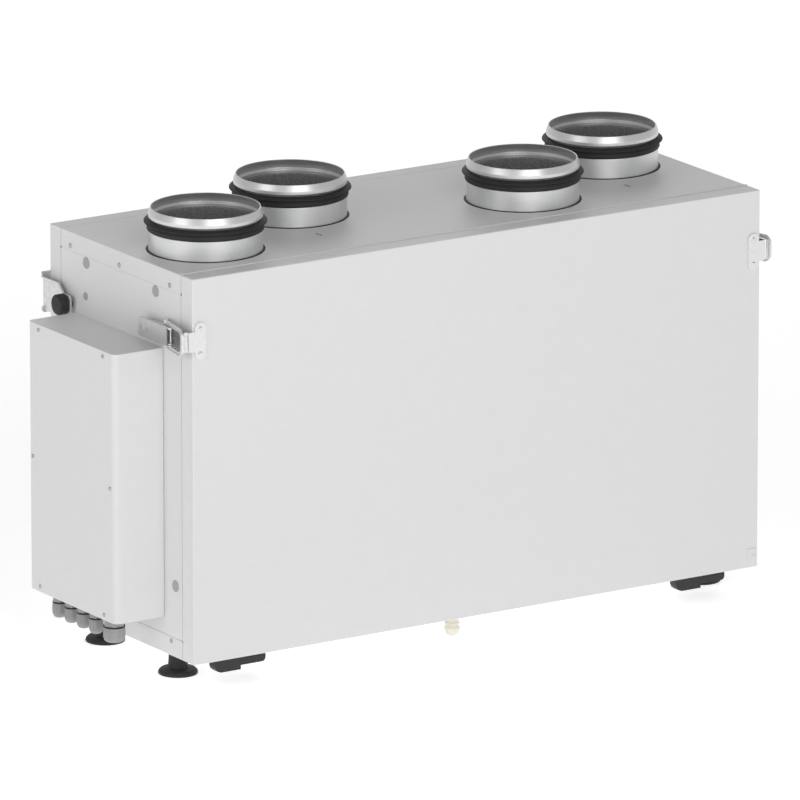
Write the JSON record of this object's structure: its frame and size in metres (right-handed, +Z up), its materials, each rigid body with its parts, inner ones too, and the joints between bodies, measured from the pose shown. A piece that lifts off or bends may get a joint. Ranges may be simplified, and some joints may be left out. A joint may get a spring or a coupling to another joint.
{
  "type": "heat recovery ventilation unit",
  "caption": "Heat recovery unit: coated steel case on feet, round duct collars on top, drop-down front door with toggle latches, side control box, counterflow core and fans inside.",
  "frame": {"origin": "bottom centre of the whole unit, on the floor plane under its feet", "axes": "+X to the right along the case, -Y out of the front door, +Z up"},
  "size_m": [1.0638, 0.3896, 0.6602],
  "materials": {
    "coated_sheet": "fine satin polyester coating",
    "foam": "fine closed-cell foam",
    "zinc_sheet": "zinc-coated sheet",
    "bright_steel": "bright zinc plate",
    "rubber": "matte",
    "black_plastic": "moulded, matte",
    "gland_plastic": "moulded grey polyamide",
    "cream_plastic": "moulded, off-white",
    "plate_pack": "stacked thin plates",
    "filter_media": "pleated fibre",
    "fan_metal": "moulded black polyamide",
    "circuit_board": "lacquered board"
  },
  "bodies": {
    "case": {"rear_panel": "coated_sheet", "rear_insulation": "foam", "top_panel": "coated_sheet", "bottom_panel": "coated_sheet", "side_panel_left": "coated_sheet", "side_panel_right": "coated_sheet", "case_lining": "foam", "panel_screws": "bright_steel", "panel_plugs": "coated_sheet", "spigot_outdoor_air": "zinc_sheet", "spigot_extract_air": "zinc_sheet", "spigot_supply_air": "zinc_sheet", "spigot_exhaust_air": "zinc_sheet", "spigot_seals": "rubber", "control_box_cover": "coated_sheet", "control_box_base": "coated_sheet", "control_box_screws": "bright_steel", "cable_gland_large": "gland_plastic", "cable_glands_small": "gland_plastic", "control_board": "circuit_board", "hinge_case_leaves": "black_plastic", "hinge_pins": "bright_steel", "feet": "rubber", "foot_bolts": "bright_steel", "latch_base_left": "bright_steel", "latch_base_right": "bright_steel", "wall_bracket_left": "zinc_sheet", "wall_bracket_right": "zinc_sheet", "bracket_buffers": "rubber", "bracket_studs": "bright_steel", "drain_pan": "black_plastic", "drain_nipple": "cream_plastic", "exchanger_core": "plate_pack", "core_end_caps": "black_plastic", "filter_left": "filter_media", "filter_right": "filter_media", "fan_decks": "zinc_sheet", "core_dividers": "zinc_sheet", "fan_inlet_rings": "zinc_sheet", "fan_stators": "fan_metal", "bypass_plate": "zinc_sheet", "bypass_actuator": "black_plastic", "air_sensors": "bright_steel"},
    "door": {"door_outer_sheet": "coated_sheet", "door_insulation": "foam", "door_inner_sheet": "zinc_sheet", "door_seal": "rubber", "door_corner_plate": "coated_sheet", "latch_keeper_left": "bright_steel", "latch_keeper_right": "bright_steel", "keeper_screws": "bright_steel", "hinge_door_leaves": "black_plastic"},
    "lever_left": {"latch_lever_left": "bright_steel"},
    "bail_left": {"latch_bail_left": "bright_steel"},
    "lever_right": {"latch_lever_right": "bright_steel"},
    "bail_right": {"latch_bail_right": "bright_steel"},
    "impeller_left": {"fan_impeller_left": "fan_metal"},
    "impeller_right": {"fan_impeller_right": "fan_metal"},
    "bypass_flap": {"bypass_flap": "zinc_sheet"}
  },
  "joints": [
    {"name": "door_swing", "type": "hinge", "parent": "case", "child": "door", "pos_m": [0.02945, -0.1692, 0.0305], "axis": [1, 0, 0], "range_deg": [0, 88]},
    {"name": "latch_lever_left_swing", "type": "hinge", "parent": "case", "child": "lever_left", "pos_m": [-0.45755, -0.1467, 0.5085], "axis": [0, 0, 1], "range_deg": [0, 105]},
    {"name": "latch_bail_left_swing", "type": "hinge", "parent": "lever_left", "child": "bail_left", "pos_m": [-0.45405, -0.1292, 0.5085], "axis": [0, 0, 1], "range_deg": [-126, 0]},
    {"name": "latch_lever_right_swing", "type": "hinge", "parent": "case", "child": "lever_right", "pos_m": [0.51645, -0.1467, 0.5085], "axis": [0, 0, -1], "range_deg": [0, 105]},
    {"name": "latch_bail_right_swing", "type": "hinge", "parent": "lever_right", "child": "bail_right", "pos_m": [0.51295, -0.1292, 0.5085], "axis": [0, 0, -1], "range_deg": [-126, 0]},
    {"name": "fan_left_spin", "type": "hinge", "parent": "case", "child": "impeller_left", "pos_m": [-0.33105, 0.0008, 0.3285], "axis": [0, 0, 1], "continuous": true},
    {"name": "fan_right_spin", "type": "hinge", "parent": "case", "child": "impeller_right", "pos_m": [0.38995, 0.0008, 0.3285], "axis": [0, 0, 1], "continuous": true},
    {"name": "bypass_flap_turn", "type": "hinge", "parent": "case", "child": "bypass_flap", "pos_m": [-0.14205, 0.1018, 0.5235], "axis": [1, 0, 0], "range_deg": [0, 90]}
  ],
  "couplings": [
    {"joint": "latch_bail_left_swing", "follows": "latch_lever_left_swing", "ratio": -1.2},
    {"joint": "latch_bail_right_swing", "follows": "latch_lever_right_swing", "ratio": -1.2}
  ]
}
